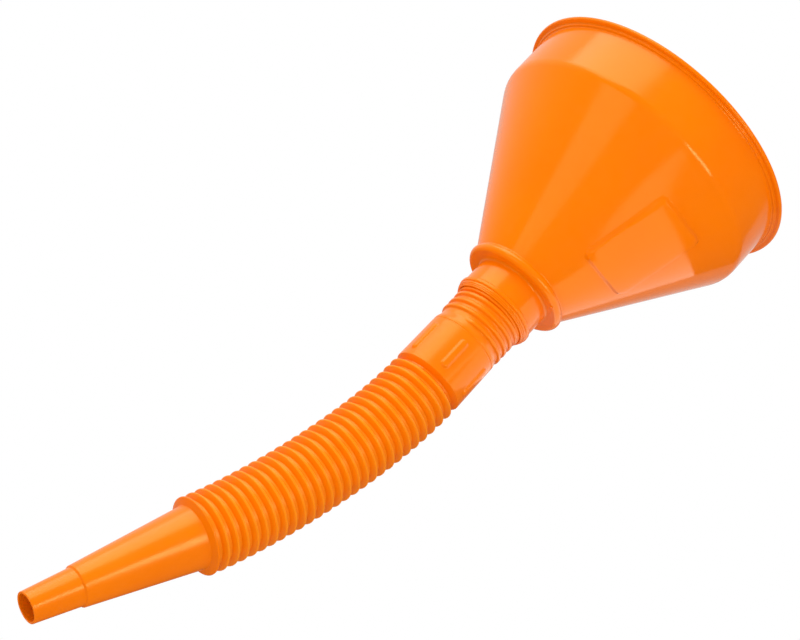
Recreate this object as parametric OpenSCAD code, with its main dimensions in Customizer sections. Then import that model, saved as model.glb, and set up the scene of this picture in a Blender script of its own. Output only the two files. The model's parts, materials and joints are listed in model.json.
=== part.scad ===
// Funnel with a screw-on flexible spout.
// The mouth faces up and its rim lies in the plane z = 0, with the bowl's axis on Z.
// The spout hangs below, and in its rest shape it curves towards -X.
// The bellows is one flexible moulding on the real funnel. Here each of its convolutions is
// a rigid ring that turns a few degrees in the ring above it, on a spherical seat.

/* [Bowl] */
// Diameter over the rim lip
rim_d = 160; // [150:1:170]
// Thickness of the rim lip
lip_t = 2.2; // [1.8:0.1:3]
// Diameter of the upright band below the lip
band_d = 151.4; // [148:0.1:153]
// Height from the rim to where band and cone would meet
band_h = 30.4; // [25:0.1:36]
// Angle between the cone's wall and the axis
cone_angle = 30.5; // [29:0.5:32]
// Radius of the shoulder between band and cone
shoulder_r = 9; // [5:1:14]
// Thickness of the bowl's wall
bowl_wall = 1.8; // [1.4:0.1:2.2]
// Depth of the throat bead's centre below the rim
bead_z = 115.2; // [115:0.1:116]
// Diameter over the throat bead
bead_d = 57.4; // [56:0.1:59]
// Thickness of the throat bead
bead_t = 5.2; // [4.6:0.1:5.4]
// Outside diameter of the neck
neck_d = 41.8; // [41.6:0.1:43]
// Depth of the neck's lower end below the rim
neck_end_z = 136; // [135:0.5:138]
// Diameter over the stiffening ring on the neck
neck_ring_d = 44; // [43.6:0.1:45]

/* [Label pad] */
// Width of the raised label pad
pad_w = 36; // [30:1:40]
// Length of the raised label pad, down the cone
pad_l = 50; // [40:1:52]
// Height of the pad above the cone
pad_t = 1.8; // [1:0.1:2.2]
// Radius of the pad's corners
pad_corner_r = 4; // [2:0.5:8]

/* [Strainer] */
// Outside diameter of the strainer's frame
strainer_d = 50.2; // [49:0.1:50.4]
// Height of the strainer's frame
strainer_h = 2.4; // [2:0.1:3]
// Height of the finger tab above the frame
tab_h = 7; // [5:0.5:10]

/* [Spout collar] */
// Diameter over the thread's ridges
thread_d = 38.2; // [37.8:0.1:38.2]
// Diameter at the thread's root
thread_root_d = 35.8; // [35:0.1:36.2]
// Distance from one ridge of the thread to the next
thread_pitch = 4.4; // [4:0.1:5]
// Diameter of the collar's bore
collar_bore_d = 32.6; // [31:0.1:33]
// Diameter of the grip at its upper end
grip_top_d = 37.8; // [37:0.1:38.4]
// Diameter of the grip at its lower end
grip_end_d = 38.6; // [38:0.1:39.4]
// Number of grip ribs
grip_ribs = 6; // [4:1:8]

/* [Bellows] */
// Distance from one convolution to the next, along the spout
pitch = 5.4; // [5.3:0.1:5.8]
// Diameter over the convolutions
crest_d = 39; // [38:0.1:40]
// Rest bend at the first convolution, in degrees
bend_first = 1.66; // [0:0.01:1.8]
// Rest bend at the middle convolution, in degrees
bend_middle = 0.67; // [0:0.01:1.8]
// Rest bend at the last convolution, in degrees
bend_last = 1.05; // [0:0.01:1.8]

/* [Nozzle] */
// Distance from the last pivot to the open tip
nozzle_l = 92.8; // [85:0.1:100]
// Distance from the last pivot to the step
step_z = 66.7; // [60:0.1:72]
// Outside diameter below the nozzle's flange
nozzle_base_d = 31; // [29:0.1:32]
// Outside diameter just above the step
step_d = 20.4; // [19:0.1:22]
// Outside diameter of the open tip
tip_d = 15.6; // [14:0.1:17]
// Thickness of the nozzle's wall
nozzle_wall = 1.2; // [1:0.1:1.5]

/* [Hidden] */
$fn = 96;
eps = 0.01;
ring_count = 26;
function two_digits(i) = str(i < 10 ? "0" : "", i);
function ring_name(i) = str("bellows_ring_", two_digits(i));

orange = [1.0, 0.45, 0.03];
brass = [0.80, 0.65, 0.35];

// Bowl: radii and levels worked out from the driving dimensions (levels are negative, below the rim)
band_r = band_d / 2;
rim_r = rim_d / 2;
cone_slope = tan(cone_angle);
wall_across = bowl_wall / cos(cone_angle);
function cone_r(z) = band_r - (-band_h - z) * cone_slope;
function cone_z(r) = -band_h - (band_r - r) / cone_slope;
// Step under the lip, where the lip's mould parts
lip_step_t = 1.3;
lip_step_out = 1.5;
// Ledge that carries the strainer, just below the bead's centre
ledge_top = -bead_z - 0.4;
ledge_t = 1.8;
ledge_r = collar_bore_d / 2 + 0.2;
throat_r = 25.4;
// Neck: its thread is inside, so its bore clears the collar's ridges
neck_r = neck_d / 2;
neck_bore_r = thread_d / 2 + 0.3;
neck_ring_z = -132;
neck_ring_edge = 1.2;
neck_foot_z = -134.7;
neck_foot_edge = 0.9;
neck_foot_r = neck_r + 0.5;

// Strainer: the gauze sits in a groove of its frame
gauze_r = 23.6;
gauze_t = 0.4;
gauze_z = ledge_top + 1;
frame_in_r = 22.4;
bar_w = 3;
bar_z = gauze_z + gauze_t;
bar_top = ledge_top + strainer_h + 0.6;
tab_w = 1.8;
tab_r = 5;

// Spout: the collar's top stops short of the ledge, and the first pivot sits below the collar
collar_top = ledge_top - ledge_t - 0.3;
thread_end = -153;
grip_top = -156;
grip_end = -183.2;
first_pivot = -186.5;

// Bellows joint: a spherical tongue turns inside a spherical socket about their common pivot
crest_r = crest_d / 2;
shell_r = 17.9;
socket_r = 17.2;
tongue_r = 16.9;
tongue_wall = 0.8;
tongue_in_r = tongue_r - tongue_wall;
half_gap = 1.0;
web_t = 0.8;
tongue_h = 1.8;
socket_h = pitch - half_gap - web_t;

// Rest bend of convolution i: a curve through the three driving values
function bend(i) = let (s = (i - 1) / ring_count)
    bend_first * (1 - s) * (1 - 2 * s) + bend_middle * 4 * s * (1 - s) + bend_last * s * (2 * s - 1);
// Angle between piece i and the bowl's axis, and the pivot at the piece's upper end
function lean(i) = i < 1 ? 0 : lean(i - 1) + bend(i);
function pivot(i) = i <= 1
    ? [0, 0, first_pivot]
    : pivot(i - 1) - pitch * [sin(lean(i - 1)), 0, cos(lean(i - 1))];

// Points along an arc, for outlines
function polar(r, angle) = r * [cos(angle), sin(angle)];
function arc(centre, r, from, to, steps = 10) =
    [for (k = [0 : steps]) centre + polar(r, from + (to - from) * k / steps)];

// Rounded shoulder from the band to the cone, for a wall face that lies `inset` inside the outer face
function shoulder(inset) =
    let (
        r = shoulder_r - inset,
        run = shoulder_r * tan(cone_angle / 2),
        centre = [band_r - shoulder_r, -band_h + run]
    ) arc(centre, r, 0, -cone_angle);

module move_to_piece(i) {
    translate(pivot(i)) rotate([0, lean(i), 0]) children();
}

module rounded_rectangle(w, l, r) {
    square([w - 2 * r, l], center = true);
    square([w, l - 2 * r], center = true);
    for (x = [-1, 1], y = [-1, 1]) translate([x * (w / 2 - r), y * (l / 2 - r)]) circle(r);
}

// Wall of the bowl from the rim down to the throat, with its rim lip
module bowl_wall_outline() {
    inner_band_r = band_r - bowl_wall;
    throat_z = cone_z(throat_r + wall_across);
    polygon(concat(
        [[inner_band_r, 0], [band_r, 0]],
        shoulder(0),
        [[cone_r(-bead_z), -bead_z], [throat_r, ledge_top], [throat_r, throat_z]],
        [for (k = [10 : -1 : 0]) shoulder(bowl_wall)[k]]
    ));
    lip_edge = lip_t / 2;
    translate([rim_r - lip_edge, -lip_edge]) circle(lip_edge);
    translate([inner_band_r, -lip_t]) square([rim_r - lip_edge - inner_band_r, lip_t]);
    translate([inner_band_r, -lip_t - lip_step_t]) square([bowl_wall + lip_step_out, lip_step_t + eps]);
}

// Throat: the bead, the ledge that carries the strainer, and the neck with its two rings
module throat_outline() {
    bead_r = bead_t / 2;
    intersection() {
        translate([bead_d / 2 - bead_r, -bead_z]) circle(bead_r);
        translate([throat_r, -bead_z - bead_r]) square([bead_t, bead_t]);
    }
    translate([ledge_r, ledge_top - ledge_t]) square([bead_d / 2 - bead_r - ledge_r, ledge_t]);
    translate([neck_bore_r, -neck_end_z]) square([neck_r - neck_bore_r, neck_end_z + ledge_top]);
    translate([neck_ring_d / 2 - neck_ring_edge, neck_ring_z]) circle(neck_ring_edge);
    translate([neck_foot_r - neck_foot_edge, neck_foot_z]) circle(neck_foot_edge);
}

// Raised label pad: a skin on the cone, cut to a rounded rectangle square to the surface
module label_pad() {
    pad_azimuth = -82;
    pad_turn = 10;
    pad_r = 51.7;
    skin_top = -36;
    skin_bottom = -106;
    skin_in = 0.6;
    skin_out = pad_t / cos(cone_angle);
    intersection() {
        rotate_extrude() polygon([
            [cone_r(skin_top) - skin_in, skin_top], [cone_r(skin_top) + skin_out, skin_top],
            [cone_r(skin_bottom) + skin_out, skin_bottom], [cone_r(skin_bottom) - skin_in, skin_bottom]
        ]);
        rotate([0, 0, pad_azimuth]) translate([pad_r, 0, cone_z(pad_r)]) rotate([0, 90 + cone_angle, 0])
            rotate([0, 0, pad_turn]) linear_extrude(30, center = true)
                rounded_rectangle(pad_l, pad_w, pad_corner_r);
    }
}

module bowl() {
    color(orange) union() {
        rotate_extrude() {
            bowl_wall_outline();
            throat_outline();
        }
        label_pad();
    }
}

module strainer_gauze() {
    color(brass) translate([0, 0, gauze_z]) cylinder(h = gauze_t, r = gauze_r);
}

// Frame that carries the gauze, with a bar across it and a tab to lift it out by
module strainer_frame() {
    color(orange) union() {
        difference() {
            translate([0, 0, ledge_top]) cylinder(h = strainer_h, r = strainer_d / 2);
            translate([0, 0, ledge_top - 1]) cylinder(h = strainer_h + 2, r = frame_in_r);
            translate([0, 0, gauze_z]) cylinder(h = gauze_t, r = gauze_r);
        }
        translate([-frame_in_r - 1, -bar_w / 2, bar_z]) cube([2 * frame_in_r + 2, bar_w, bar_top - bar_z]);
        translate([0, tab_w / 2, bar_top]) rotate([90, 0, 0]) linear_extrude(tab_w)
            finger_tab_outline(bar_top - bar_z);
    }
}

// Outline of the finger tab above the bar, reaching `root` down into it
module finger_tab_outline(root) {
    intersection() {
        translate([0, tab_h - tab_r]) circle(tab_r);
        translate([-tab_r, 0]) square([2 * tab_r, tab_h]);
    }
    translate([-tab_r + 0.5, -root]) square([2 * tab_r - 1, root + tab_h - tab_r]);
}

// Ridge outline of the thread, centred on level z
module thread_ridge(z) {
    root_r = thread_root_d / 2;
    top_flank = 1.5;
    bottom_flank = 1.3;
    crest_half = 0.7;
    root_in = 0.3;
    polygon([
        [root_r - root_in, z + top_flank], [root_r, z + top_flank], [thread_d / 2, z + crest_half],
        [thread_d / 2, z - crest_half], [root_r, z - bottom_flank], [root_r - root_in, z - bottom_flank]
    ]);
}

// Grip rib: a bar with round ends that stands a little out of the grip
module grip_rib() {
    rib_r = 3;
    rib_centre = 16.9;
    rib_top = grip_top - 7.5;
    rib_bottom = grip_end + 4.7;
    translate([rib_centre, 0, rib_bottom]) cylinder(h = rib_top - rib_bottom, r = rib_r);
    for (z = [rib_top, rib_bottom]) translate([rib_centre, 0, z]) sphere(rib_r);
}

// Threaded collar at the top of the spout, with the socket for the first ring at its lower end
module spout_collar() {
    collar_wall = 1.8;
    notch_l = 3;
    first_ridge = thread_end + 1.6;
    ridges = floor((collar_top - collar_wall - thread_end) / thread_pitch);
    root_r = thread_root_d / 2;
    bore_r = collar_bore_d / 2;
    grip_bore_r = grip_top_d / 2 - collar_wall;
    bore_end = first_pivot + socket_h;
    color(orange) difference() {
        union() {
            rotate_extrude() {
                translate([bore_r - 1, grip_top]) square([root_r - bore_r + 1, collar_top - grip_top]);
                for (k = [0 : ridges - 1]) thread_ridge(first_ridge + k * thread_pitch);
                polygon([
                    [bore_r - 1, grip_top + notch_l], [root_r, grip_top + notch_l],
                    [grip_top_d / 2, grip_top], [grip_end_d / 2, grip_end],
                    [grip_end_d / 2 - 0.4, grip_end - 1.2],
                    [shell_r, first_pivot + half_gap], [bore_r - 1, first_pivot + half_gap]
                ]);
            }
            for (k = [0 : grip_ribs - 1]) rotate([0, 0, k * 360 / grip_ribs]) grip_rib();
        }
        translate([0, 0, bore_end - eps]) cylinder(h = collar_top - bore_end + 1, r = bore_r);
        translate([0, 0, bore_end - eps]) cylinder(h = grip_top - bore_end, r = grip_bore_r);
        intersection() {
            translate([0, 0, first_pivot]) sphere(socket_r);
            translate([0, 0, first_pivot - 1]) cylinder(h = socket_h + 1, r = socket_r + 1);
        }
    }
}

// Spherical tongue about a piece's upper pivot, which reaches up into the socket above
module tongue() {
    difference() {
        intersection() {
            sphere(tongue_r);
            translate([0, 0, -half_gap - web_t]) cylinder(h = tongue_h + half_gap + web_t, r = shell_r);
        }
        intersection() {
            sphere(tongue_in_r);
            translate([0, 0, -tongue_r]) cylinder(h = 2 * tongue_r, r = shell_r);
        }
    }
}

// Radius of a convolution's outside, from 0 at its upper root to 1 at its lower root
function crest_outline_r(part) = shell_r + (crest_r - shell_r) * pow(sin(180 * part), 0.8);

// One convolution: tongue, web, round crest and the socket about the next pivot
module ring_piece() {
    crest_steps = 12;
    crest_h = pitch - 2 * half_gap;
    color(orange) union() {
        tongue();
        difference() {
            rotate_extrude() polygon(concat(
                [[tongue_in_r - 0.1, -half_gap], [shell_r, -half_gap]],
                [for (part = [1 / crest_steps : 1 / crest_steps : 1 - eps])
                    [crest_outline_r(part), -half_gap - crest_h * part]],
                [[shell_r, -pitch + half_gap], [tongue_in_r - 0.1, -pitch + half_gap]]
            ));
            intersection() {
                translate([0, 0, -pitch]) sphere(socket_r);
                translate([0, 0, -pitch - 1]) cylinder(h = socket_h + 1, r = socket_r + 1);
            }
            translate([0, 0, -2 * pitch]) cylinder(h = 3 * pitch, r = tongue_in_r);
        }
    }
}

// Nozzle: the last convolution is its flange, then a long taper, a step and the open tip
module nozzle() {
    base_r = nozzle_base_d / 2;
    step_r = step_d / 2;
    tip_r = tip_d / 2;
    step_in = 0.8;
    flange_z = -3.3;
    base_z = -7.6;
    color(orange) move_to_piece(ring_count + 1) union() {
        tongue();
        rotate_extrude() polygon(concat(
            [[tongue_in_r - 0.1, -half_gap], [shell_r, -half_gap]],
            arc([crest_r - 1, flange_z], 1, 60, -45, 6),
            [
                [base_r, base_z], [step_r, -step_z], [step_r - step_in, -step_z - 1],
                [tip_r, -nozzle_l], [tip_r - nozzle_wall, -nozzle_l],
                [step_r - step_in - nozzle_wall, -step_z - 1], [step_r - nozzle_wall - 0.2, -step_z + 1],
                [base_r - nozzle_wall - 0.3, base_z + 0.4], [tongue_in_r - 0.1, -half_gap - web_t - 1]
            ]
        ));
    }
}

bowl();
strainer_frame();
strainer_gauze();
spout_collar();
for (i = [1 : ring_count])
    move_to_piece(i) ring_piece();
nozzle();
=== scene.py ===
"""Funnel with a screw-on bellows spout: the looks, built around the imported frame.

The mouth faces up, its rim lies in the plane z = 0, and at rest the spout curves towards -X. Outlines and
sizes are in millimetres, in the part's own frame, and become metres when a mesh is made. The ends of arcs are
in degrees, and other angles in radians.
"""

import json
import math

import bpy
import numpy as np
from mathutils import Matrix, Vector

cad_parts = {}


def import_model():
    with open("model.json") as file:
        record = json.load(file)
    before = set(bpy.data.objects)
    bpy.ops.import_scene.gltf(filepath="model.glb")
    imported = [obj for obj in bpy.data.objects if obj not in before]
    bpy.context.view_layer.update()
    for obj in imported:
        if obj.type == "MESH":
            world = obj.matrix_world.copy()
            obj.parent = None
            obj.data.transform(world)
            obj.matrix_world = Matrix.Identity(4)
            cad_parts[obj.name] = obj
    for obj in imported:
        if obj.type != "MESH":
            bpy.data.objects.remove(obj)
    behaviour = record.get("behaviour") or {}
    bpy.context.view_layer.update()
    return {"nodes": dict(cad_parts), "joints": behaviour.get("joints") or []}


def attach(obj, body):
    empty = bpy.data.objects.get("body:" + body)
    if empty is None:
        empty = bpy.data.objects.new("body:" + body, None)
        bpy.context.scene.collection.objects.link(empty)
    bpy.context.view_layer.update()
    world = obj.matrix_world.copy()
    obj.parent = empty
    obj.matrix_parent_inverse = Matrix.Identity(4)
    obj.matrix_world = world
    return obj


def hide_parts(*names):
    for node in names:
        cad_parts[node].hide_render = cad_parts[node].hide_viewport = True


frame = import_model()

MM = 0.001
SLACK = 0.01
ARC_STEP = math.radians(11)

# Bowl
BAND_R = 75.7
RIM_R = 80.0
LIP_T = 2.2
LIP_STEP_R = 77.2
LIP_STEP_Z = -3.5
BAND_END_Z = -30.4
SHOULDER_R = 9.0
CONE_ANGLE = math.radians(30.5)
WALL = 1.8
BEAD_CENTRE = (26.1, -115.2)
BEAD_R = 2.6
BEAD_START = -80
BEAD_END = 44
THROAT_R = 25.4
LEDGE_TOP = -115.6
LEDGE_T = 1.8
LEDGE_R = 16.5
NECK_R = 20.9
NECK_BORE_R = 19.4
NECK_END_Z = -136.0
BEAD_FOOT_R = 24.0
BEAD_FOOT_Z = -117.4

# The neck's foot widens in two small steps to a land, and a ring runs round it above them
NECK_FOOT_R = NECK_R - 0.5
NECK_STEP_R = NECK_R - 0.1
NECK_STEP_Z = -135.2
NECK_LAND_R = NECK_R + 0.3
NECK_LAND_Z = -134.4
NECK_LAND_TOP = -133.6
NECK_RING_R = NECK_R + 0.8
NECK_RING_BOTTOM = -132.9
NECK_RING_TOP = -131.1

# Gate mark under the bead. Its tiny bore keeps the outline off the axis.
GATE_AZIMUTH = math.radians(-75)
GATE_OUT = 0.6
GATE_R = 0.75
GATE_H = 0.5
GATE_ROOT = 0.3
GATE_BORE = 0.02
GATE_COLUMNS = 20

# Label pad, placed by the point where its middle stands on the cone. Its walls start just outside its
# outline, and the cone more than PAD_SIDE radians away from it is plain.
PAD_R = 51.7
PAD_AZIMUTH = math.radians(-82)
PAD_TURN = math.radians(10)
PAD_W = 36.0
PAD_L = 50.0
PAD_T = 2.3
PAD_WALL = 2.8
PAD_FOOT = 0.3
PAD_LEFT_WALL_BOTTOM = 1.5
PAD_LEFT_WALL_TOP = 5.5
PAD_CORNER_R = 4.0
PAD_SIDE = 1.2

# Mesh round the pad: inside a zone its lines bend to follow the walls, which takes a few rounds of correction
PAD_ZONE_W = 92.0
PAD_ZONE_L = 83.0
PAD_FADE_W = 26.0
PAD_FADE_L = 15.0
FOLLOW_ROUNDS = 14
FOLLOW_STEP = 0.8
FAR_COLUMNS = 74

# Steps between the lines: fine from just outside the pad's outline to just inside it, and wider elsewhere
PAD_EDGE = 1.5
PAD_EDGE_INSIDE = 2.0
LEFT_EDGE_INSIDE = 6.0
FINE_STEP = 0.25
TOP_STEP_L = 2.2
TOP_STEP_W = 2.0
CONE_STEP = 3.0

# Spout collar
COLLAR_TOP = -117.7
ROOT_R = 17.9
LAND_R = 19.3
LAND_END_Z = -137.1
LAND_TOP_Z = -131.0
THREAD_H = 1.2
THREAD_PITCH = 4.4
THREAD_UPPER_HALF = 1.65
THREAD_UPPER_FLANK = 0.95
THREAD_LOWER_HALF = 1.45
THREAD_LOWER_FLANK = 0.85
THREAD_REF_Z = -150.9
THREAD_REF_AZIMUTH = math.radians(-30)
THREAD_END_AZIMUTH = math.radians(-152)
THREAD_TOP_GAP = 2.2
THREAD_RISE_TURNS = 0.07
THREAD_FALL_TURNS = 0.1
THREAD_FOOT_Z = -152.4
GRIP_TOP = -156.0
GRIP_TOP_R = 18.9
GRIP_END_R = 19.3
GROOVE_TOP = -157.3
GROOVE_BOTTOM = -158.3
GROOVE_DEPTH = 0.2
RIB_COUNT = 6
RIB_TOP = -163.9
RIB_BOTTOM = -178.1
RIB_HALF_W = 2.45
RIB_H = 0.95
RIB_FLANK = 1.3
COLLAR_BORE_R = 16.3
COLLAR_BORE_END_Z = -155.0
GRIP_BORE_R = 17.3
GRIP_BORE_TOP_Z = -157.5
COLLAR_ROW = 0.3
COLLAR_COLUMNS = 256

# Bellows: each fold is a ring from valley to valley, and its round skirt turns in the seat of the next ring
PITCH = 5.4
CREST_R = 19.5
CREST_ROUND = 0.7
CREST_HALF = 64
VALLEY_R = 16.5
FLANK_END = 0.8
SKIRT_DEPTH = 2.4
SEAT_GAP = 0.05
SEAT_DEPTH = 0.35
SKIN = 0.6
RING_COLUMNS = 112

# Nozzle. Its heights are from the last pivot, where it bends a little more than the rings before it.
FLANGE_HALF = 75
TAPER_TOP_R = 15.75
TAPER_TOP_Z = -4.7
TAPER_END_R = 10.15
STEP_Z = -66.7
TIP_TOP_R = 9.3
TIP_R = 7.8
TIP_BORE_R = 6.7
TIP_Z = -92.8
NOZZLE_COLUMNS = 128
NOZZLE_BEND = 1.03

# Strainer gauze
GAUZE_Z = LEDGE_TOP + 1.2
GAUZE_R = 23.4
WIRE_R = 0.11
WIRE_SPACING = 1.0
WIRE_WAVE = WIRE_R * 1.05
WIRE_STEPS = 4
WIRE_SIDES = 5


# ---------------------------------------------------------------- outlines and meshes

def unit(vector):
    """The vector made one unit long."""
    return vector / np.linalg.norm(vector)


def cone_r(z):
    """Radius of the cone's outer face at height z."""
    return BAND_R + (z - BAND_END_Z) * math.tan(CONE_ANGLE)


def cone_z(r):
    """Height at which the cone's outer face has radius r."""
    return BAND_END_Z + (r - BAND_R) / math.tan(CONE_ANGLE)


def arc(centre, radius, start, end):
    """Corners without a fillet along an arc, from angle start to angle end in degrees."""
    start, end = math.radians(start), math.radians(end)
    steps = max(2, math.ceil(abs(end - start) / ARC_STEP))
    angles = np.linspace(start, end, steps + 1)
    return [(centre[0] + radius * math.cos(a), centre[1] + radius * math.sin(a), 0) for a in angles]


def rounded(corners):
    """Points of a closed outline through corners (radius, height, fillet), each rounded to its fillet."""
    points = []
    count = len(corners)
    for k, (r, z, fillet) in enumerate(corners):
        here = np.array([r, z], float)
        if fillet == 0:
            points.append(here)
            continue
        back = unit(np.array(corners[k - 1][:2]) - here)
        on = unit(np.array(corners[(k + 1) % count][:2]) - here)
        half = math.acos(np.clip(back @ on, -1, 1)) / 2
        centre = here + unit(back + on) * fillet / math.sin(half)
        spoke = here + back * fillet / math.tan(half) - centre
        last = here + on * fillet / math.tan(half) - centre
        sweep = math.atan2(spoke[0] * last[1] - spoke[1] * last[0], spoke @ last)
        steps = max(2, math.ceil(abs(sweep) / ARC_STEP))
        for angle in np.linspace(0, sweep, steps + 1):
            c, s = math.cos(angle), math.sin(angle)
            points.append(centre + np.array([c * spoke[0] - s * spoke[1], s * spoke[0] + c * spoke[1]]))
    return np.array(points)


def graded(*marks):
    """Values from the first mark to the last. Each mark but the last is (value, step up to the next mark)."""
    values = []
    for (start, step), following in zip(marks[:-1], marks[1:]):
        stretch = following[0] - start
        pieces = max(1, round(abs(stretch) / step))
        values += [start + stretch * k / pieces for k in range(pieces)]
    return np.array(values + [marks[-1][0]])


def smooth(t):
    """Soft step from 0, where t is 0 or less, to 1, where t is 1 or more."""
    t = np.clip(t, 0, 1)
    return t * t * (3 - 2 * t)


def around(outline, azimuths):
    """Grid of points from an outline (radius, height), turned about Z through every azimuth."""
    r, z = outline[:, :1], outline[:, 1:]
    return np.stack([r * np.cos(azimuths), r * np.sin(azimuths), z + 0 * azimuths], axis=2)


def grid_piece(name, grid):
    """Closed piece through a grid of points (rows, columns, 3), in millimetres.

    Rows close round the section, and columns round the axis. Rows run so that the material lies to their
    left, which makes every normal point out.
    """
    across = np.roll(grid, -1, axis=1) - np.roll(grid, 1, axis=1)
    along = np.roll(grid, -1, axis=0) - np.roll(grid, 1, axis=0)
    rows, columns = grid.shape[:2]
    faces = []
    for i in range(rows):
        low, high = i * columns, (i + 1) % rows * columns
        for j in range(columns):
            following = (j + 1) % columns
            faces.append((low + j, low + following, high + following, high + j))
    points, normals = grid.reshape(-1, 3) * MM, np.cross(across, along).reshape(-1, 3)
    normals /= np.linalg.norm(normals, axis=1, keepdims=True)
    mesh = bpy.data.meshes.new(name)
    mesh.from_pydata(points.tolist(), [], faces)
    mesh.shade_smooth()
    mesh.normals_split_custom_set_from_vertices(normals.tolist())
    piece = bpy.data.objects.new(name, mesh)
    bpy.context.scene.collection.objects.link(piece)
    return piece


# ---------------------------------------------------------------- bowl

def pad_place(azimuth, z):
    """Place of a point of the cone on the pad's own plane: down the pad, and across it."""
    r = cone_r(z)
    turn = azimuth - PAD_AZIMUTH
    up = (r * np.cos(turn) - PAD_R) * math.sin(CONE_ANGLE) + (z - cone_z(PAD_R)) * math.cos(CONE_ANGLE)
    side = r * np.sin(turn)
    c, s = math.cos(PAD_TURN), math.sin(PAD_TURN)
    return side * s - up * c, up * s + side * c


def pad_height(azimuth, z):
    """Height of the raised label pad above the cone. Its left wall is drawn out soft towards the top."""
    down, across = pad_place(azimuth, z)
    corner = np.hypot(
        np.maximum(np.abs(across) - PAD_W / 2 + PAD_CORNER_R, 0),
        np.maximum(np.abs(down) - PAD_L / 2 + PAD_CORNER_R, 0),
    )
    inside = PAD_CORNER_R - corner
    straight = np.minimum(PAD_W / 2 - np.abs(across), PAD_L / 2 - np.abs(down))
    inside = np.where(inside < PAD_CORNER_R, inside, np.maximum(straight, PAD_CORNER_R))
    left_wall = PAD_LEFT_WALL_BOTTOM + (PAD_LEFT_WALL_TOP - PAD_LEFT_WALL_BOTTOM) * smooth(0.5 - down / PAD_L)
    rise = smooth((inside + PAD_FOOT) / PAD_WALL) * smooth((across + PAD_W / 2 + PAD_FOOT) / left_wall)
    return PAD_T * np.where(np.abs(azimuth - PAD_AZIMUTH) < PAD_SIDE, rise, 0)


def follow_pad(azimuth, z):
    """Shift a grid of the cone's points so that its lines run along the pad's edges.

    The shift fades out between the pad and the edge of its zone.
    """
    down = (cone_z(PAD_R) - z) / math.cos(CONE_ANGLE)
    across = (azimuth - PAD_AZIMUTH) * PAD_R
    held_down = np.clip(down, -PAD_L / 2 - PAD_EDGE, PAD_L / 2 + PAD_EDGE)
    held_across = np.clip(across, -PAD_W / 2 - PAD_EDGE, PAD_W / 2 + PAD_EDGE)
    start_azimuth = PAD_AZIMUTH + held_across / PAD_R
    start_z = cone_z(PAD_R) - held_down * math.cos(CONE_ANGLE)
    turned_azimuth, turned_z = start_azimuth.copy(), start_z.copy()
    c, s = math.cos(PAD_TURN), math.sin(PAD_TURN)
    for _ in range(FOLLOW_ROUNDS):
        now_down, now_across = pad_place(turned_azimuth, turned_z)
        error_down, error_across = held_down - now_down, held_across - now_across
        turned_z = turned_z + (error_across * s - error_down * c) * math.cos(CONE_ANGLE) * FOLLOW_STEP
        turned_azimuth = turned_azimuth + (error_down * s + error_across * c) / cone_r(turned_z) * FOLLOW_STEP
    share = smooth((PAD_ZONE_W / 2 - np.abs(across)) / PAD_FADE_W)
    share = share * smooth((PAD_ZONE_L / 2 - np.abs(down)) / PAD_FADE_L)
    return azimuth + share * (turned_azimuth - start_azimuth), z + share * (turned_z - start_z)


def bowl_corners():
    """The bowl's wall in section: down the inside, round the neck's end and up the outside."""
    inner_r = BAND_R - WALL
    across = WALL / math.cos(CONE_ANGLE)
    corners = [
        (inner_r, 0, 0.7),
        (inner_r, cone_z(inner_r + across), SHOULDER_R - WALL),
        (THROAT_R, cone_z(THROAT_R + across), 2.0),
        (THROAT_R, LEDGE_TOP, 0.4),
        (LEDGE_R, LEDGE_TOP, 0.6),
        (LEDGE_R, LEDGE_TOP - LEDGE_T, 0.6),
        (NECK_BORE_R, LEDGE_TOP - LEDGE_T, 0.5),
        (NECK_BORE_R, NECK_END_Z, 0.4),
        (NECK_FOOT_R, NECK_END_Z, 0.3),
        (NECK_FOOT_R, NECK_STEP_Z - 0.1, 0.1),
        (NECK_STEP_R, NECK_STEP_Z, 0.2),
        (NECK_STEP_R, NECK_LAND_Z - 0.1, 0.1),
        (NECK_LAND_R, NECK_LAND_Z, 0.2),
        (NECK_LAND_R, NECK_LAND_TOP, 0.2),
        (NECK_R, NECK_LAND_TOP + 0.2, 0.1),
        (NECK_R + 0.2, NECK_RING_BOTTOM - 0.3, 0.1),
        (NECK_RING_R, NECK_RING_BOTTOM, 0.7),
        (NECK_RING_R, NECK_RING_TOP, 0.7),
        (NECK_R, NECK_RING_TOP + 0.4, 0.5),
        (NECK_R, BEAD_FOOT_Z, 1.2),
        (BEAD_FOOT_R, BEAD_FOOT_Z, 3.0),
    ]
    bead = arc(BEAD_CENTRE, BEAD_R, BEAD_START, BEAD_END)
    end_r, end_z = bead[-1][:2]
    # the bead runs on straight from its arc to the cone, where a hollow fillet joins them
    run_r, run_z = -math.sin(math.radians(BEAD_END)), math.cos(math.radians(BEAD_END))
    run = (cone_r(end_z) - end_r) / (run_r - run_z * math.tan(CONE_ANGLE))
    corners += bead
    corners += [
        (end_r + run * run_r, end_z + run * run_z, 0.9),
        (BAND_R, BAND_END_Z, SHOULDER_R),
        (BAND_R, LIP_STEP_Z, 0.7),
        (LIP_STEP_R, LIP_STEP_Z, 0.6),
        (LIP_STEP_R, -LIP_T, 0.5),
        (RIM_R, -LIP_T, 1.0),
        (RIM_R, 0, 1.1),
    ]
    return corners


def cone_start(outline):
    """Index of the outline's point where the cone's outer face starts, the longest stretch of the outside."""
    lengths = np.linalg.norm(np.roll(outline, -1, axis=0) - outline, axis=1)
    outer = outline[:, 0] > cone_r(outline[:, 1]) - 1
    return int(np.argmax(np.where(outer, lengths, 0)))


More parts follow.
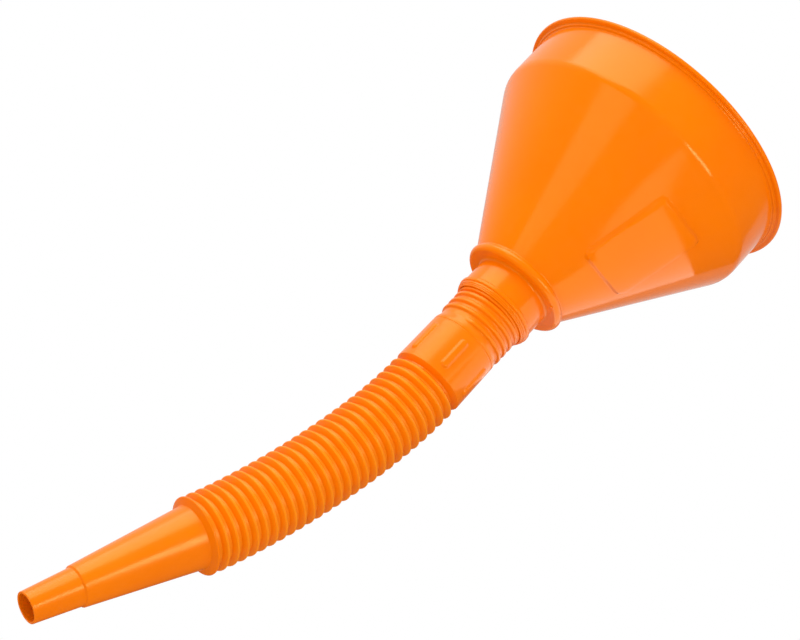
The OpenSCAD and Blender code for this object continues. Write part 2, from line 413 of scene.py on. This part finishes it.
def cone_rows(bottom, top):
    """Heights of the rows of points between the ends of the cone's outer face."""
    middle = cone_z(PAD_R)
    slant = math.cos(CONE_ANGLE)
    half = PAD_L / 2
    up = graded(
        ((bottom - middle) / slant, CONE_STEP),
        (-half - PAD_EDGE, FINE_STEP),
        (PAD_EDGE_INSIDE - half, TOP_STEP_L),
        (half - PAD_EDGE_INSIDE, FINE_STEP),
        (half + PAD_EDGE, CONE_STEP),
        ((top - middle) / slant,),
    )
    return middle + up[1:-1] * slant


def bowl_columns():
    """Azimuths of the bowl's columns of points, all the way round from the left edge of the pad's zone."""
    half = PAD_W / 2
    zone = PAD_ZONE_W / 2
    across = graded(
        (-zone, CONE_STEP),
        (-half - PAD_EDGE, FINE_STEP),
        (LEFT_EDGE_INSIDE - half, TOP_STEP_W),
        (half - PAD_EDGE_INSIDE, FINE_STEP),
        (half + PAD_EDGE, CONE_STEP),
        (zone,),
    )
    near = PAD_AZIMUTH + across / PAD_R
    far = np.linspace(near[-1], near[0] + 2 * math.pi, FAR_COLUMNS + 2)[1:-1]
    return np.concatenate([near, far])


def bowl():
    """The bowl as one moulding, with the label pad raised from the cone's outer face."""
    outline = rounded(bowl_corners())
    low = cone_start(outline)
    rows = cone_rows(outline[low][1], outline[low + 1][1])
    face = np.stack([cone_r(rows), rows], axis=1)
    outline = np.concatenate([outline[:low + 1], face, outline[low + 1:]])
    azimuths = bowl_columns()
    grid = around(outline, azimuths)
    z = np.repeat(rows[:, None], len(azimuths), axis=1)
    azimuth = np.repeat(azimuths[None, :], len(rows), axis=0)
    azimuth = np.where(azimuth > PAD_AZIMUTH + math.pi, azimuth - 2 * math.pi, azimuth)
    azimuth, z = follow_pad(azimuth, z)
    height = pad_height(azimuth, z)
    r = cone_r(z) + height * math.cos(CONE_ANGLE)
    z = z - height * math.sin(CONE_ANGLE)
    grid[low + 1:low + 1 + len(rows)] = np.stack([r * np.cos(azimuth), r * np.sin(azimuth), z], axis=2)
    piece = grid_piece("bowl_moulding", grid)
    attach(piece, "bowl")
    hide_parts("bowl")
    return piece


def gate_mark():
    """Stub left on the bead's lower face where the moulding gate was broken off."""
    outline = rounded([
        (GATE_BORE, -GATE_H, 0),
        (GATE_R - 0.2, 0.05 - GATE_H, 0.2),
        (GATE_R, GATE_ROOT, 0),
        (GATE_BORE, GATE_ROOT, 0),
    ])
    spot_r, spot_z = BEAD_CENTRE[0] + GATE_OUT, BEAD_CENTRE[1] - BEAD_R
    spot = np.array([spot_r * math.cos(GATE_AZIMUTH), spot_r * math.sin(GATE_AZIMUTH), spot_z])
    grid = around(outline, np.linspace(0, 2 * math.pi, GATE_COLUMNS, endpoint=False)) + spot
    piece = grid_piece("gate_mark", grid)
    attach(piece, "bowl")
    return piece


# ---------------------------------------------------------------- spout

def thread_height(azimuth, z):
    """Height of the helical thread above its root. It runs out at both ends."""
    turn = (azimuth - THREAD_REF_AZIMUTH) / (2 * math.pi)
    level = (z - THREAD_REF_Z) / THREAD_PITCH
    ridge = np.round(level - turn)
    off = (level - turn - ridge) * THREAD_PITCH
    along = turn + ridge
    first = (THREAD_END_AZIMUTH - THREAD_REF_AZIMUTH) / (2 * math.pi)
    last = (COLLAR_TOP - THREAD_TOP_GAP - THREAD_REF_Z) / THREAD_PITCH
    upper = smooth((THREAD_UPPER_HALF - off) / THREAD_UPPER_FLANK)
    lower = smooth((THREAD_LOWER_HALF + off) / THREAD_LOWER_FLANK)
    section = np.where(off > 0, upper, lower)
    ends = smooth((along - first) / THREAD_RISE_TURNS) * smooth((last - along) / THREAD_FALL_TURNS)
    return THREAD_H * section * ends


def rib_height(azimuth, z):
    """Height of the grip ribs above the grip."""
    spacing = 2 * math.pi / RIB_COUNT
    side = (azimuth - spacing * np.round(azimuth / spacing)) * GRIP_END_R
    beyond = np.maximum(z - RIB_TOP, 0) + np.maximum(RIB_BOTTOM - z, 0)
    return RIB_H * smooth((RIB_HALF_W - np.hypot(side, beyond)) / RIB_FLANK)


def skirt(pivot_z):
    """Corners from the foot of a piece up its round skirt, which turns about a pivot, to its lower flank."""
    return [
        (VALLEY_R - SKIN, pivot_z - SKIRT_DEPTH, 0.2),
        *arc((0, pivot_z), VALLEY_R, -math.degrees(math.asin(SKIRT_DEPTH / VALLEY_R)), 0),
        (VALLEY_R, pivot_z + FLANK_END, 0.15),
    ]


def seat():
    """Corners of the mouth that takes the skirt of the piece above, about a pivot at height 0."""
    return [
        (VALLEY_R + SEAT_GAP, -FLANK_END, 0.15),
        (VALLEY_R + SEAT_GAP, -FLANK_END - SEAT_DEPTH, 0.1),
    ]


def collar_outline(pivot_z, end):
    """The collar's wall in section: up the outside from its foot, and down the bore."""
    return rounded([
        *skirt(pivot_z),
        (GRIP_END_R, end, 0.4),
        (GRIP_TOP_R + 0.05, GROOVE_BOTTOM, 0.2),
        (GRIP_TOP_R - GROOVE_DEPTH, GROOVE_BOTTOM + 0.3, 0.15),
        (GRIP_TOP_R - GROOVE_DEPTH, GROOVE_TOP - 0.3, 0.15),
        (GRIP_TOP_R, GROOVE_TOP, 0.2),
        (GRIP_TOP_R, GRIP_TOP, 0.8),
        (ROOT_R + 0.25, THREAD_FOOT_Z - 1.2, 0.6),
        (ROOT_R, THREAD_FOOT_Z, 0.5),
        (ROOT_R, LAND_END_Z - 0.4, 0.2),
        (LAND_R, LAND_END_Z, 0.4),
        (LAND_R, LAND_TOP_Z, 0.5),
        (ROOT_R, LAND_TOP_Z + 1.0, 0.5),
        (ROOT_R, COLLAR_TOP, 0.7),
        (COLLAR_BORE_R, COLLAR_TOP, 0.6),
        (COLLAR_BORE_R, COLLAR_BORE_END_Z, 1.0),
        (GRIP_BORE_R, GRIP_BORE_TOP_Z, 1.0),
        (GRIP_BORE_R, end, 1.0),
        (VALLEY_R - SKIN, pivot_z + FLANK_END, 0.5),
    ])


def collar(pivot_z):
    """Threaded collar and grip. The grip ends half a pitch above the first pivot."""
    end = pivot_z + PITCH / 2
    outline = collar_outline(pivot_z, end)
    outside_r = ROOT_R - SLACK
    # fine rows along the outside, where the thread and the ribs are
    wall = [outline[0]]
    for here, following in zip(outline[:-1], outline[1:]):
        outside = min(here[0], following[0]) > outside_r and here[1] >= end - SLACK
        pieces = max(1, round(np.linalg.norm(following - here) / COLLAR_ROW)) if outside else 1
        wall += [here + (following - here) * k / pieces for k in range(1, pieces + 1)]
    wall = np.array(wall)
    azimuths = np.linspace(-math.pi, math.pi, COLLAR_COLUMNS, endpoint=False)
    grid = around(wall, azimuths)
    wall_r, z = wall[:, :1], grid[:, :, 2]
    # the thread's ridge is lost wherever the wall stands above its root
    thread = np.maximum(thread_height(azimuths[None, :], z) - np.maximum(wall_r - ROOT_R, 0), 0)
    raised = np.where(z > GRIP_TOP, thread, rib_height(azimuths[None, :], z))
    raised = np.where((wall_r > outside_r) & (wall[:, 1:] > end), raised, 0)
    grid[:, :, 0] += raised * np.cos(azimuths)
    grid[:, :, 1] += raised * np.sin(azimuths)
    piece = grid_piece("collar_moulding", grid)
    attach(piece, "spout_collar")
    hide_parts("spout_collar")
    return piece


def leaning(outline, columns, lean, pivot):
    """Grid of an outline (radius, height), swept round its own axis, leant about Y and set on a pivot."""
    grid = around(outline, np.linspace(0, 2 * math.pi, columns, endpoint=False))
    c, s = math.cos(lean), math.sin(lean)
    x, y, z = grid[:, :, 0:1], grid[:, :, 1:2], grid[:, :, 2:3]
    return np.concatenate([x * c + z * s, y, z * c - x * s], axis=2) + pivot


def bellows_ring(number, pivot, lean):
    """One fold of the bellows: from the valley at its pivot to the next valley, and its skirt beyond that."""
    crest_z = -PITCH / 2
    outline = rounded([
        *skirt(-PITCH),
        *arc((CREST_R - CREST_ROUND, crest_z), CREST_ROUND, -CREST_HALF, CREST_HALF),
        *seat(),
        (CREST_R - SKIN, crest_z, 0.5),
        (VALLEY_R - SKIN, FLANK_END - PITCH, 0.3),
    ])
    piece = grid_piece("fold_%02d" % number, leaning(outline, RING_COLUMNS, lean, pivot))
    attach(piece, "ring_%02d" % number)
    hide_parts("bellows_ring_%02d" % number)
    return piece


def nozzle(pivot, lean):
    """Nozzle with its flange, taper, step and open tip, about the last pivot and along the last lean."""
    crest_z = -PITCH / 2
    outline = rounded([
        *seat(),
        (CREST_R - 1.0, crest_z, 0.5),
        (TAPER_TOP_R - 0.55, TAPER_TOP_Z + 0.4, 0.5),
        (TAPER_END_R - 1.15, STEP_Z - 0.4, 0.8),
        (TIP_TOP_R - 1.1, STEP_Z - 1.6, 0.8),
        (TIP_BORE_R, TIP_Z, 0.3),
        (TIP_R, TIP_Z, 0.35),
        (TIP_TOP_R, STEP_Z - 0.75, 0.25),
        (TAPER_END_R, STEP_Z - 0.05, 0.45),
        (TAPER_TOP_R, TAPER_TOP_Z, 0.4),
        *arc((CREST_R - CREST_ROUND, crest_z), CREST_ROUND, -FLANGE_HALF, CREST_HALF),
    ])
    piece = grid_piece("nozzle_moulding", leaning(outline, NOZZLE_COLUMNS, lean, pivot))
    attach(piece, "nozzle")
    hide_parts("nozzle")
    return piece


def spout():
    """The spout's pieces from the top down, about the pivots that the frame's joints give."""
    joints = [j for j in frame["joints"] if j["name"].split("_")[0] in ("spout", "bend", "sway")]
    pivots = [np.array(j["pos_m"]) / MM for j in joints if j["name"] != "spout_turn"]
    leans = []
    for here, following in zip(pivots[:-1], pivots[1:]):
        step = following - here
        leans.append(math.atan2(-step[0], -step[2]))
    pieces = [collar(pivots[0][2])]
    for number, (pivot, lean) in enumerate(zip(pivots, leans), 1):
        pieces.append(bellows_ring(number, pivot, lean))
    # the nozzle goes on from the last ring with the bend that the last two rings show
    pieces.append(nozzle(pivots[-1], leans[-1] + (leans[-1] - leans[-2]) * NOZZLE_BEND))
    return pieces


# ---------------------------------------------------------------- strainer

def gauze():
    """Woven brass wire gauze: two sets of parallel wires that pass over and under each other."""
    points, faces = [], []
    count = int(GAUZE_R / WIRE_SPACING)
    for turned in (False, True):
        for k in range(-count, count + 1):
            offset = k * WIRE_SPACING
            half = math.sqrt(GAUZE_R ** 2 - offset ** 2)
            steps = max(WIRE_STEPS, int(half * 2 / WIRE_SPACING * WIRE_STEPS))
            along = np.linspace(-half, half, steps + 1)
            phase = math.pi * (k + (1 if turned else 0))
            wave = WIRE_WAVE * np.cos(math.pi * along / WIRE_SPACING + phase)
            first = len(points)
            for a, w in zip(along, wave):
                for side in range(WIRE_SIDES):
                    angle = 2 * math.pi * side / WIRE_SIDES
                    across = offset + WIRE_R * math.cos(angle)
                    z = GAUZE_Z + w + WIRE_R * math.sin(angle)
                    points.append((across, a, z) if turned else (a, across, z))
            for i in range(steps):
                here = first + i * WIRE_SIDES
                on = here + WIRE_SIDES
                for side in range(WIRE_SIDES):
                    following = (side + 1) % WIRE_SIDES
                    quad = (here + side, here + following, on + following, on + side)
                    faces.append(quad if turned else quad[::-1])
    mesh = bpy.data.meshes.new("gauze_weave")
    mesh.from_pydata((np.array(points) * MM).tolist(), [], faces)
    mesh.shade_smooth()
    piece = bpy.data.objects.new("gauze_weave", mesh)
    bpy.context.scene.collection.objects.link(piece)
    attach(piece, "strainer")
    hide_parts("strainer_gauze")
    return piece


# ---------------------------------------------------------------- materials

# How far the plastic's roughness goes below and above its mean, where it is polished and where it is rubbed
POLISHED = 0.03
RUBBED = 0.06


def node(tree, kind, **inputs):
    """Shader node with its named inputs set. An underscore stands for a space in a name."""
    made = tree.nodes.new(kind)
    for name, value in inputs.items():
        made.inputs[name.replace("_", " ")].default_value = value
    return made


def two_tones(tree, low, high):
    """Colour ramp between two stops, each (position, colour)."""
    made = tree.nodes.new("ShaderNodeValToRGB")
    for stop, (position, colour) in zip(made.color_ramp.elements, (low, high)):
        stop.position = position
        stop.color = (*colour, 1)
    return made


def plastic(name, deep, bright, roughness):
    """Glossy moulded polyethylene: faint flow marks in the colour, and a fine orange peel."""
    material = bpy.data.materials.new(name)
    material.use_nodes = True
    tree = material.node_tree
    shader = tree.nodes["Principled BSDF"]
    place = tree.nodes.new("ShaderNodeTexCoord")
    flow = node(tree, "ShaderNodeTexNoise", Scale=14.0, Detail=4.0, Roughness=0.55)
    colour = two_tones(tree, (0.3, deep), (0.72, bright))
    rub = node(tree, "ShaderNodeTexNoise", Scale=180.0, Detail=6.0, Roughness=0.65)
    gloss = node(tree, "ShaderNodeMapRange", From_Min=0.3, From_Max=0.75)
    gloss.inputs["To Min"].default_value = roughness - POLISHED
    gloss.inputs["To Max"].default_value = roughness + RUBBED
    peel = node(tree, "ShaderNodeTexNoise", Scale=420.0, Detail=3.0)
    bump = node(tree, "ShaderNodeBump", Strength=0.04, Distance=0.0003)
    tree.links.new(place.outputs["Object"], flow.inputs["Vector"])
    tree.links.new(place.outputs["Object"], rub.inputs["Vector"])
    tree.links.new(place.outputs["Object"], peel.inputs["Vector"])
    tree.links.new(flow.outputs["Fac"], colour.inputs["Fac"])
    tree.links.new(colour.outputs["Color"], shader.inputs["Base Color"])
    tree.links.new(rub.outputs["Fac"], gloss.inputs["Value"])
    tree.links.new(gloss.outputs["Result"], shader.inputs["Roughness"])
    tree.links.new(peel.outputs["Fac"], bump.inputs["Height"])
    tree.links.new(bump.outputs["Normal"], shader.inputs["Normal"])
    shader.inputs["IOR"].default_value = 1.5
    # the pigment just under the skin tints what the plastic mirrors, except at a glancing angle
    shader.inputs["Specular Tint"].default_value = (1.0, 0.9, 0.35, 1)
    return material


def brass(name):
    """Drawn brass wire, a little tarnished in patches."""
    material = bpy.data.materials.new(name)
    material.use_nodes = True
    tree = material.node_tree
    shader = tree.nodes["Principled BSDF"]
    place = tree.nodes.new("ShaderNodeTexCoord")
    tarnish = node(tree, "ShaderNodeTexNoise", Scale=90.0, Detail=5.0)
    colour = two_tones(tree, (0.35, (0.50, 0.33, 0.12)), (0.6, (0.80, 0.60, 0.26)))
    gloss = node(tree, "ShaderNodeMapRange", To_Min=0.5, To_Max=0.22)
    tree.links.new(place.outputs["Object"], tarnish.inputs["Vector"])
    tree.links.new(tarnish.outputs["Fac"], colour.inputs["Fac"])
    tree.links.new(colour.outputs["Color"], shader.inputs["Base Color"])
    tree.links.new(tarnish.outputs["Fac"], gloss.inputs["Value"])
    tree.links.new(gloss.outputs["Result"], shader.inputs["Roughness"])
    shader.inputs["Metallic"].default_value = 1.0
    return material


def dress(pieces, material):
    """Finish pieces in one material."""
    for piece in pieces:
        piece.data.materials.clear()
        piece.data.materials.append(material)


# ---------------------------------------------------------------- studio

# Lengths are in metres here, apart from the lens and its sensor. Right, up and forward are the camera's own.
CAMERA_AZIMUTH = math.radians(-30)
CAMERA_ELEVATION = math.radians(-21.293)
CAMERA_ROLL = math.radians(43.578)
CAMERA_DISTANCE = 1.2270
CAMERA_LENS = 112.47
SENSOR_WIDTH = 36
TARGET_SIDE = -0.030428
TARGET_Z = -0.170405
SOFTBOX_DISTANCE = 2.5
STRIP_RIGHT = 0.37
STRIP_DOWN = 0.17
STRIP_BACK = 0.64
STRIP_W = 0.36
STRIP_H = 0.16
STRIP_RADIANCE = 6.5
TABLE_TILT = math.radians(8)
TABLE_RIGHT = 0.46
TABLE_DOWN = 0.888
TABLE_DISTANCE = 0.079
FLOOR_LEVEL = -0.95
FLOOR_HALF = 4.0


def camera():
    """Camera at the viewing angle: below the spout, looking up, and rolled to one side."""
    side = Vector((math.cos(CAMERA_AZIMUTH), math.sin(CAMERA_AZIMUTH), 0))
    forward = Vector((
        -math.sin(CAMERA_AZIMUTH) * math.cos(CAMERA_ELEVATION),
        math.cos(CAMERA_AZIMUTH) * math.cos(CAMERA_ELEVATION),
        -math.sin(CAMERA_ELEVATION),
    ))
    rise = side.cross(forward)
    right = side * math.cos(CAMERA_ROLL) + rise * math.sin(CAMERA_ROLL)
    up = rise * math.cos(CAMERA_ROLL) - side * math.sin(CAMERA_ROLL)
    data = bpy.data.cameras.new("camera")
    data.sensor_width = SENSOR_WIDTH
    data.sensor_fit = "HORIZONTAL"
    data.lens = CAMERA_LENS
    made = bpy.data.objects.new("camera", data)
    target = side * TARGET_SIDE + Vector((0, 0, TARGET_Z))
    turn = Matrix((right, up, -forward)).transposed().to_4x4()
    made.matrix_world = Matrix.Translation(target - forward * CAMERA_DISTANCE) @ turn
    bpy.context.scene.collection.objects.link(made)
    bpy.context.scene.camera = made
    return right, up, forward, target


def area_light(name, place, facing, along, width, height, radiance):
    """Soft rectangular light at a place. It shines against `facing`, and its width runs along `along`."""
    data = bpy.data.lights.new(name, "AREA")
    data.shape = "RECTANGLE"
    data.size = width
    data.size_y = height
    data.energy = radiance * math.pi * width * height
    made = bpy.data.objects.new(name, data)
    turn = Matrix((along, facing.cross(along), facing)).transposed().to_4x4()
    made.matrix_world = Matrix.Translation(place) @ turn
    bpy.context.scene.collection.objects.link(made)
    return made


def softbox(name, bearing, swing, width, height, radiance):
    """Far softbox, aimed at the object.

    Swing is its angle from the camera, and bearing runs clockwise round the view from the top.
    """
    bearing, swing = math.radians(bearing), math.radians(swing)
    outward = up * math.cos(bearing) + right * math.sin(bearing)
    facing = outward * math.sin(swing) - forward * math.cos(swing)
    along = right * math.cos(bearing) - up * math.sin(bearing)
    area_light(name, facing * SOFTBOX_DISTANCE, facing, along, width, height, radiance)


def strip_light():
    """Long low softbox near the camera, to its lower right, turned along the bowl's shoulder."""
    place = right * STRIP_RIGHT - up * STRIP_DOWN - forward * STRIP_BACK
    facing = (place - target).normalized()
    along = (right + up).cross(facing).normalized()
    area_light("strip_light", place, facing, along, STRIP_W, STRIP_H, STRIP_RADIANCE)


def table_glow():
    """Glow of a white table that the rim and the bellows would rest on, seen only as a reflection.

    The long and short panels are the lit table between the object and the camera. The faint back panel is the
    shaded table under the object and behind it.
    """
    facing = (right * TABLE_RIGHT - up * TABLE_DOWN).normalized() * math.cos(TABLE_TILT)
    facing += forward * math.sin(TABLE_TILT)
    along = forward.cross(facing).normalized()
    toward = along.cross(facing)
    # name, ends from the mouth towards the spout, ends towards the camera, radiance
    panels = (
        ("table_glow_long", (0.018, 0.068), (0.035, 0.455), 1.5),
        ("table_glow_short", (0.068, 0.130), (0.035, 0.115), 1.5),
        ("table_glow_back", (-0.1, 0.180), (-0.4, 0.035), 0.3),
    )
    for name, (first, last), (near, far), radiance in panels:
        place = facing * TABLE_DISTANCE + along * (first + last) / 2 + toward * (near + far) / 2
        made = area_light(name, place, facing, along, last - first, far - near, radiance)
        made.visible_diffuse = False


def floor():
    """Plain pale floor, well below the spout."""
    corners = [(-1, -1), (1, -1), (1, 1), (-1, 1)]
    points = [(x * FLOOR_HALF, y * FLOOR_HALF, FLOOR_LEVEL) for x, y in corners]
    mesh = bpy.data.meshes.new("floor")
    mesh.from_pydata(points, [], [(0, 1, 2, 3)])
    made = bpy.data.objects.new("floor", mesh)
    bpy.context.scene.collection.objects.link(made)
    material = bpy.data.materials.new("floor_paint")
    material.use_nodes = True
    shader = material.node_tree.nodes["Principled BSDF"]
    shader.inputs["Base Color"].default_value = (0.86, 0.86, 0.86, 1)
    shader.inputs["Roughness"].default_value = 0.9
    mesh.materials.append(material)
    made.visible_glossy = False


def world():
    """White studio: plain white to the camera, and even light on the surfaces.

    Reflections show a dim room instead, brighter above and behind the object.
    """
    made = bpy.data.worlds.new("studio")
    bpy.context.scene.world = made
    made.use_nodes = True
    tree = made.node_tree
    seen = tree.nodes["Background"]
    seen.inputs["Color"].default_value = (1, 1, 1, 1)
    seen.inputs["Strength"].default_value = 1.0
    lit = node(tree, "ShaderNodeBackground", Color=(1, 1, 1, 1))
    place = tree.nodes.new("ShaderNodeTexCoord")
    behind = tree.nodes.new("ShaderNodeVectorMath")
    behind.operation = "DOT_PRODUCT"
    behind.inputs[1].default_value = up * 0.8 + forward * 0.6
    room = node(tree, "ShaderNodeMapRange", From_Min=0.05, From_Max=0.85, To_Min=0.04, To_Max=0.7)
    room.interpolation_type = "SMOOTHSTEP"
    ray = tree.nodes.new("ShaderNodeLightPath")
    strength = node(tree, "ShaderNodeMix", B=0.86)
    mix = tree.nodes.new("ShaderNodeMixShader")
    tree.links.new(place.outputs["Generated"], behind.inputs[0])
    tree.links.new(behind.outputs["Value"], room.inputs["Value"])
    tree.links.new(room.outputs["Result"], strength.inputs["A"])
    tree.links.new(ray.outputs["Is Diffuse Ray"], strength.inputs["Factor"])
    tree.links.new(strength.outputs["Result"], lit.inputs["Strength"])
    tree.links.new(ray.outputs["Is Camera Ray"], mix.inputs["Fac"])
    tree.links.new(lit.outputs["Background"], mix.inputs[1])
    tree.links.new(seen.outputs["Background"], mix.inputs[2])
    tree.links.new(mix.outputs["Shader"], tree.nodes["World Output"].inputs["Surface"])


right, up, forward, target = camera()
world()
floor()
# each far softbox is a bright middle in a fainter, wider edge
softbox("top_softbox", bearing=-8, swing=82, width=1.6, height=2.1, radiance=2.3)
softbox("top_softbox_edge", bearing=-8, swing=82, width=2.4, height=2.4, radiance=1.6)
softbox("left_softbox", bearing=-66, swing=42, width=0.35, height=1.0, radiance=1.4)
softbox("left_softbox_edge", bearing=-66, swing=42, width=0.8, height=1.2, radiance=1.1)
strip_light()
table_glow()
bpy.context.scene.view_settings.view_transform = "Standard"

bowl_orange = plastic("bowl_plastic", deep=(0.92, 0.175, 0.0), bright=(0.95, 0.197, 0.0), roughness=0.15)
spout_orange = plastic("spout_plastic", deep=(0.92, 0.176, 0.0), bright=(0.95, 0.200, 0.0), roughness=0.20)
# the bellows are the same plastic as the rest of the spout; their lighter orange is painted light, for the
# brighter look of the folds
bellows_orange_painted_light = plastic(
    "bellows_plastic_painted_light", deep=(0.96, 0.236, 0.0), bright=(0.99, 0.261, 0.0), roughness=0.32
)
dress([bowl(), gate_mark(), frame["nodes"]["strainer_frame"]], bowl_orange)
spout_pieces = spout()
dress([spout_pieces[0], spout_pieces[-1]], spout_orange)
dress(spout_pieces[1:-1], bellows_orange_painted_light)
dress([gauze()], brass("brass_gauze"))
